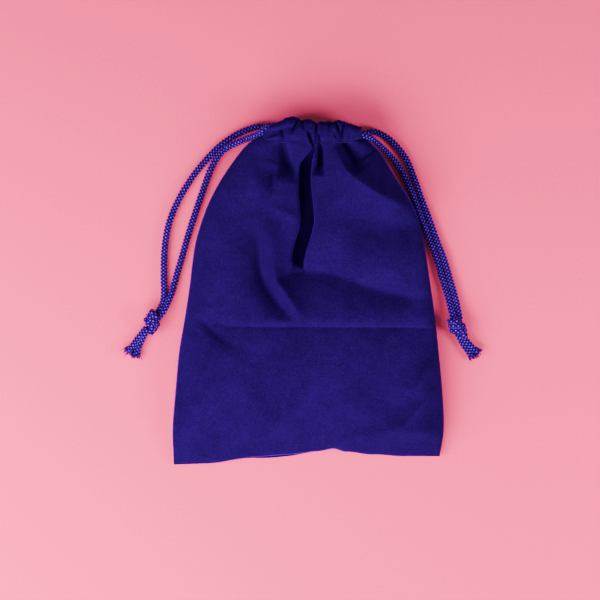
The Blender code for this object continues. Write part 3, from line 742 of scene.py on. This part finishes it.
def make_casing(name, middle_z, low_z, relief_share, material):
    """A tunnel along X. Its section is rounded at the top edge and nearly square at the stitched
    edge: half its height times sign * |cos| ** power in Y, and its half depth times the same of sin
    in Z. The outer face swells between the pleats and is pinched at them, and flattens towards the
    stitches. The left end's edge leans, so that its mouth opens upwards."""
    stations, sides = 330, 84
    x = np.linspace(*CASING_ENDS, stations)[:, None]
    angle = np.linspace(0, 2 * math.pi, sides, endpoint=False)[None, :]
    top = between(x, CASING_TOP)
    low = between(x, CASING_LOW)
    upright, outward = np.cos(angle), np.sin(angle)
    power = np.where((upright < 0) & (outward > 0), 0.35, 0.7)
    y = (top + low) / 2 + (top - low) / 2 * np.sign(upright) * np.abs(upright) ** power
    x = x + (y - 55) * 0.75 * np.clip((-8 - x) / 5, 0, 1)
    crumple = 0.08 * slow_waves(x, y + 3 * outward, 8, 3)
    held = np.clip((y - low - 0.3) / 3.5, 0, 1)
    swell = np.maximum(between(x, CASING_FULLNESS) + hem_relief(x, y) * relief_share, -1.3)
    outer = np.maximum((HALF_TUNNEL + swell + crumple) * (0.7 + 0.3 * held * (2 - held)), 1.5)
    inner = HALF_TUNNEL + 0.3 * np.sin(1.9 * x) ** 2
    z = middle_z + np.where(outward > 0, outer, inner) * np.sign(outward) * np.abs(outward) ** power
    skin = np.stack([x, y, np.maximum(z, low_z)], -1) * MM
    casing = mesh_object(name, skin, ring_quads(stations, sides).tolist(), material)
    give_wall(casing, CLOTH, -1)
    return casing


hem_pieces = {}
for which, (middle_z, low_z, share) in HEMS.items():
    hem = make_casing(f"{which}_casing_velvet", middle_z, low_z, share, blue_velvet)
    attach(hem, "pouch")
    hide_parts(f"{which}_casing")
    hem_pieces[which] = [hem]


# ---------------------------------------------------------------- The seams inside
# Along both sides and the bottom the two panels are sewn together wrong side out, so their raw
# allowances lie inside the pouch, showing the woven back of the velvet.
def woven_back():
    """The velvet's ground: close weave in darker yarn, its threads under half a millimetre apart."""
    material, tree, shader, add, place = new_material("woven_back", roughness=0.9, specular=0.1)
    weave = add("ShaderNodeTexVoronoi", {"Vector": place, "Scale": 2600.0}).outputs["Distance"]
    colour = ramp_of(add, weave, [(0.1, (0.004, 0.0, 0.026)), (0.7, (0.002, 0.0, 0.012))])
    tree.links.new(colour, shader.inputs["Base Color"])
    bump = add("ShaderNodeBump", {"Height": weave, "Strength": 0.6, "Distance": 0.0001})
    tree.links.new(bump.outputs["Normal"], shader.inputs["Normal"])
    return material


def inside_of(values, low, high):
    """The places in a list of values that lie between two limits."""
    return np.nonzero((values > low) & (values < high))[0]


wrong_side = woven_back()
SEAM_WALL = 0.45 * MM
x, y, across, up = cloth_plan(240, 400)
middle = (front_height(x, y, across, up) + back_height(x, y, across, up)) / 2
left_strip = inside_of(across[0], -0.985, -0.90)
right_strip = inside_of(across[0], 0.90, 0.985)
low_strip = inside_of(up[:, 0], 0.012, 0.055)
high_rows = inside_of(up[:, 0], 0.02, 0.97)
wide_columns = inside_of(across[0], -0.97, 0.97)
for node_name, rows, columns in (
    ("left_side_seam", high_rows, left_strip), ("right_side_seam", high_rows, right_strip),
    ("bottom_seam", low_strip, wide_columns),
):
    pick = np.ix_(rows, columns)
    skin = np.stack([x[pick], y[pick], middle[pick]], -1) * MM
    quads = grid_quads(len(rows), len(columns)).tolist()
    allowance = mesh_object(f"{node_name}_allowance", skin, quads, wrong_side)
    give_wall(allowance, SEAM_WALL, 0)
    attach(allowance, "pouch")
    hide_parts(node_name)


# ---------------------------------------------------------------- The casings' stitching
# A row of lock stitches in matching thread holds each hem down. The gathers push the stitches
# close together and carry them up and down over the pleats.
def sewing_thread():
    """Twisted polyester thread: a slanting ply along its length."""
    material, tree, shader, add, place = new_material("sewing_thread", roughness=0.6, specular=0.1)
    ply = add("ShaderNodeTexWave", {"Vector": place, "Scale": 2200.0, "Distortion": 1.5}).outputs["Fac"]
    colour = ramp_of(add, ply, [(0.2, (0.004, 0.0, 0.03)), (0.8, (0.01, 0.0, 0.075))])
    tree.links.new(colour, shader.inputs["Base Color"])
    bump = add("ShaderNodeBump", {"Height": ply, "Strength": 0.5, "Distance": 0.00005})
    tree.links.new(bump.outputs["Normal"], shader.inputs["Normal"])
    return material


thread = sewing_thread()
STITCH_Y = 49.3                    # the row's place, and its first hole and length in X, in mm
STITCH_START = -12.6
STITCH_ROW = 29.0
STITCH_ARCH = 0.14
THREAD_R = 0.09


def hem_face(x, middle_z, relief_share):
    """The height of a casing's outer face along the stitches."""
    swell = between(x, CASING_FULLNESS) + hem_relief(x, STITCH_Y + 0 * x) * relief_share
    return middle_z + 0.73 * (HALF_TUNNEL + np.maximum(swell, 0))


def stitch_row(name, middle_z, relief_share, material):
    """Stitches along X: each is a low arc of thread from hole to hole, at the hem's face less
    arch * t * t, and thinner towards its holes."""
    count, points, sides = 26, 9, 8
    pitch = STITCH_ROW / count
    start = STITCH_START + pitch * np.arange(count)
    t = np.linspace(-1, 1, points)
    x = start[:, None] + pitch * 0.36 * (t + 1)
    z = hem_face(x, middle_z, relief_share) + STITCH_ARCH * (1 - t**2) - STITCH_ARCH
    line = np.stack([x, STITCH_Y + 0 * x, z], -1)
    radius = THREAD_R * np.sqrt(1 - 0.9 * t**2)
    angle = 2 * math.pi * np.arange(sides) / sides
    ring = np.stack([0 * angle, np.cos(angle), np.sin(angle)], -1)
    skin = line[:, :, None] + radius[None, :, None, None] * ring
    quads = ring_quads(points, sides)
    first = np.arange(sides)[::-1]
    last = np.arange(sides) + (points - 1) * sides
    shifts = (np.arange(count) * points * sides)[:, None, None]
    faces = (quads[None] + shifts).reshape(-1, 4).tolist()
    faces += (np.stack([first, last])[None] + shifts).reshape(-1, sides).tolist()
    return mesh_object(name, skin * MM, faces, material)


for which, (middle_z, low_z, share) in HEMS.items():
    row = stitch_row(f"{which}_casing_stitches", middle_z, share, thread)
    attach(row, "pouch")
    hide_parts(f"{which}_casing_stitching")
    hem_pieces[which].append(row)


# ---------------------------------------------------------------- The table and the lights
# A pale pink sheet of paper. The main light is large and soft and stands at the front left; a
# smaller one at the left and another at the right fill in the shadows.
def pink_paper():
    """Matt coloured paper with a faint fibre grain."""
    material, tree, shader, add, place = new_material("pink_paper", roughness=0.8)
    fibres = add("ShaderNodeTexNoise", {"Vector": place, "Scale": 900.0, "Detail": 4.0}).outputs["Fac"]
    colour = ramp_of(add, fibres, [(0.3, (0.91, 0.026, 0.150)), (0.7, (0.95, 0.030, 0.158))])
    tree.links.new(colour, shader.inputs["Base Color"])
    return material


TABLE_SIZE = 1.6
TABLE_TOP = -0.02 * MM
bpy.ops.mesh.primitive_plane_add(size=TABLE_SIZE, location=(0, 0, TABLE_TOP))
table = bpy.context.object
table.name = "table"
table.data.materials.append(pink_paper())


LIGHT_COLOUR = (1.0, 0.7, 0.97)
ROOM_COLOUR = (0.95, 1.9, 1.1, 1)
ROOM_STRENGTH = 0.3


def soft_light(name, place, size, watts):
    """A square area light that faces the pouch."""
    data = bpy.data.lights.new(name, "AREA")
    data.shape = "SQUARE"
    data.size = size
    data.energy = watts
    data.color = LIGHT_COLOUR
    lamp = bpy.data.objects.new(name, data)
    lamp.location = place
    lamp.rotation_euler = (-lamp.location).to_track_quat("-Z", "Y").to_euler()
    bpy.context.scene.collection.objects.link(lamp)


soft_light("light_front", (-0.14, -0.30, 0.24), 0.30, 4.2)
soft_light("light_left", (-0.30, -0.10, 0.22), 0.20, 2.8)
soft_light("light_right", (0.32, -0.10, 0.20), 0.14, 2.1)

world = bpy.data.worlds.new("room")
world.use_nodes = True
world.node_tree.nodes["Background"].inputs["Color"].default_value = ROOM_COLOUR
world.node_tree.nodes["Background"].inputs["Strength"].default_value = ROOM_STRENGTH
bpy.context.scene.world = world
